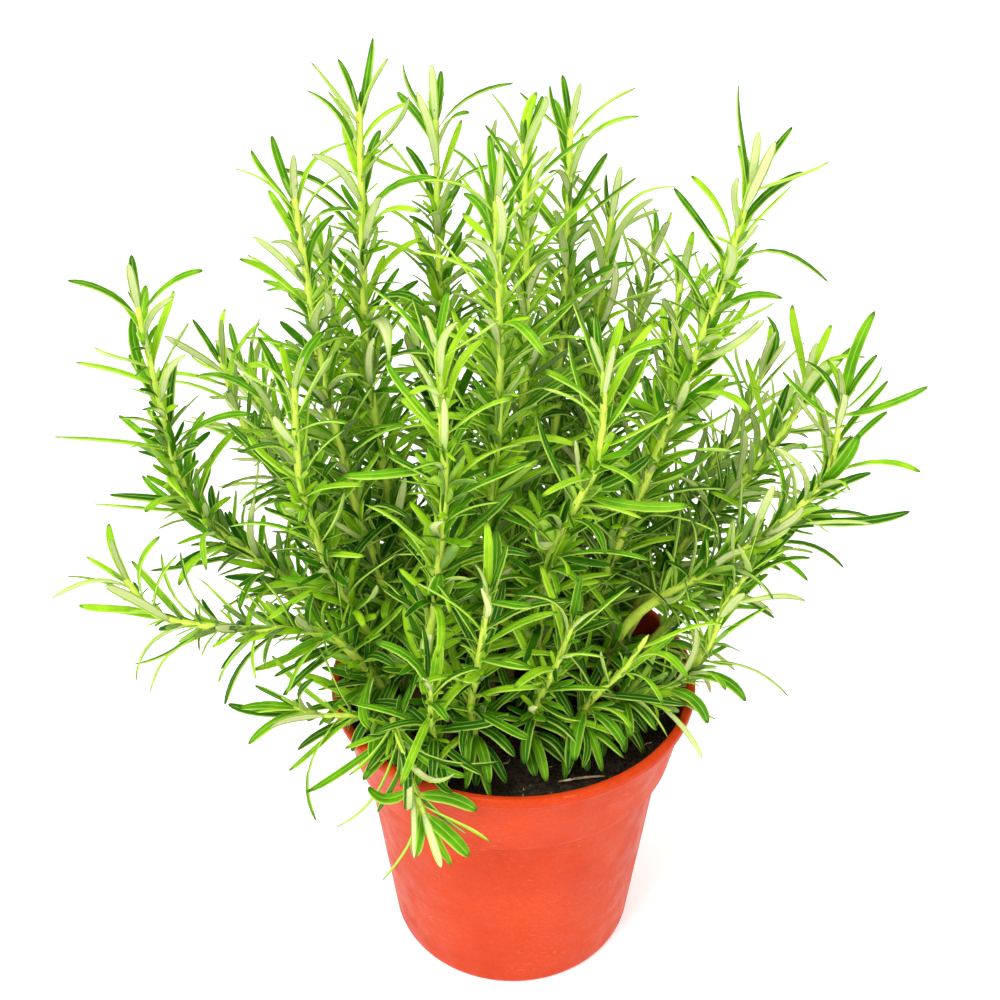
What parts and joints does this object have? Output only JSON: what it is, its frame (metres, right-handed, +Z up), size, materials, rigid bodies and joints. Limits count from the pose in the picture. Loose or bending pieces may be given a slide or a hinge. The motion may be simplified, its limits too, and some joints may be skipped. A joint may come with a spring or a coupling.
{
  "type": "potted rosemary plant",
  "caption": "Rosemary with upright and arching leafy stems, rooted in potting soil in a round tapered plastic nursery pot with a deep collar and a rolled rim.",
  "frame": {"origin": "centre of the pot's underside, where it stands", "axes": "+Z up along the pot's axis, -Y to the front of the plant, +X to its right"},
  "size_m": [0.2629, 0.2024, 0.3259],
  "materials": {
    "pot_plastic": "satin",
    "potting_soil": "matte",
    "rosemary_leaf": "satin",
    "rosemary_stem": "matte",
    "dry_straw": "matte"
  },
  "bodies": {
    "root": {"pot": "pot_plastic", "potting_soil": "potting_soil", "straw": "dry_straw", "centre_shoot_1": "rosemary_leaf", "centre_shoot_2": "rosemary_leaf", "centre_shoot_3": "rosemary_leaf", "centre_shoot_4": "rosemary_leaf", "centre_shoot_5": "rosemary_leaf", "centre_shoot_6": "rosemary_leaf", "left_shoot_1": "rosemary_leaf", "left_shoot_2": "rosemary_leaf", "left_shoot_3": "rosemary_leaf", "left_shoot_4": "rosemary_leaf", "left_shoot_5": "rosemary_leaf", "left_shoot_6": "rosemary_leaf", "left_shoot_7": "rosemary_leaf", "right_shoot_1": "rosemary_leaf", "right_shoot_2": "rosemary_leaf", "right_shoot_3": "rosemary_leaf", "right_shoot_4": "rosemary_leaf", "right_shoot_5": "rosemary_leaf", "right_shoot_6": "rosemary_leaf", "right_shoot_7": "rosemary_leaf", "front_shoot_1": "rosemary_leaf", "front_shoot_2": "rosemary_leaf", "front_shoot_3": "rosemary_leaf", "front_shoot_4": "rosemary_leaf", "front_shoot_5": "rosemary_leaf", "front_shoot_6": "rosemary_leaf", "front_shoot_7": "rosemary_leaf", "back_shoot_1": "rosemary_leaf", "back_shoot_2": "rosemary_leaf", "back_shoot_3": "rosemary_leaf", "back_shoot_4": "rosemary_leaf", "back_shoot_5": "rosemary_leaf", "back_shoot_6": "rosemary_leaf", "back_shoot_7": "rosemary_leaf"}
  },
  "joints": []
}
